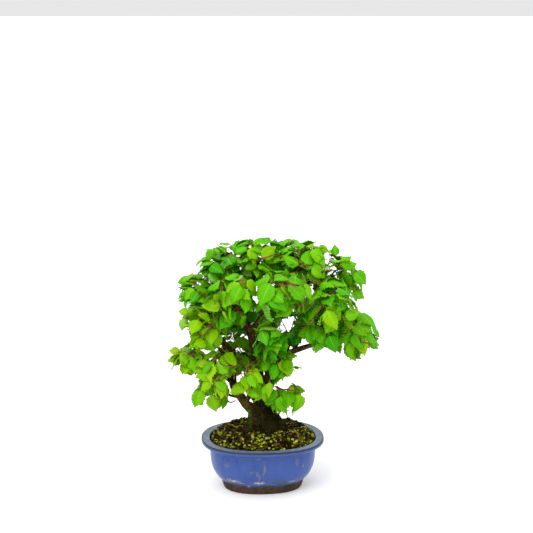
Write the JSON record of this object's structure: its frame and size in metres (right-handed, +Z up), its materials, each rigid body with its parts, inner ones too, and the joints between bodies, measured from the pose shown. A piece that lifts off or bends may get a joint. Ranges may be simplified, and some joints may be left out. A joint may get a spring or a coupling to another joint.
{
  "type": "potted hornbeam bonsai",
  "caption": "Small hornbeam bonsai: a stout flared trunk forks into twisting boughs with a full leafy crown, in an oval glazed pot.",
  "frame": {"origin": "centre of the pot's flat underside", "axes": "+Z up, +X along the pot's length towards the long low bough, -Y towards the front"},
  "size_m": [0.2981, 0.2131, 0.3656],
  "materials": {
    "glaze": "glossy blue glaze, greyer on the rim, bare brown clay at the foot",
    "soil": "loose dark grains with yellow-green ones among them",
    "bark": "rough grey-brown bark with moss low down",
    "leaves": "satin green leaf, veined"
  },
  "bodies": {
    "root": {"back_low_bough": "bark", "back_low_mass": "leaves", "back_middle_bough": "bark", "back_middle_mass": "leaves", "crown_left_bough": "bark", "crown_right_bough": "bark", "far_left_bough": "bark", "far_left_mass": "leaves", "front_high_bough": "bark", "front_high_mass": "leaves", "front_left_high_bough": "bark", "front_left_high_mass": "leaves", "front_low_bough": "bark", "front_low_mass": "leaves", "front_middle_bough": "bark", "front_middle_mass": "leaves", "front_right_high_bough": "bark", "front_right_high_mass": "leaves", "left_back_bough": "bark", "left_back_mass": "leaves", "left_bottom_bough": "bark", "left_bottom_mass": "leaves", "left_front_bough": "bark", "left_front_mass": "leaves", "left_high_mass": "leaves", "left_low_bough": "bark", "left_low_mass": "leaves", "left_stem": "bark", "main_stem": "bark", "pot": "glaze", "right_back_bough": "bark", "right_back_mass": "leaves", "right_bough": "bark", "right_front_bough": "bark", "right_front_mass": "leaves", "right_inner_bough": "bark", "right_inner_mass": "leaves", "right_low_bough": "bark", "right_low_mass": "leaves", "right_mass": "leaves", "right_middle_bough": "bark", "right_middle_mass": "leaves", "right_stem": "bark", "soil": "soil", "top_back_left_bough": "bark", "top_back_left_mass": "leaves", "top_back_right_bough": "bark", "top_back_right_mass": "leaves", "top_bough": "bark", "top_left_mass": "leaves", "top_middle_mass": "leaves", "top_right_mass": "leaves", "trunk": "bark", "upper_left_bough": "bark", "upper_right_bough": "bark", "upper_right_mass": "leaves"}
  },
  "joints": []
}
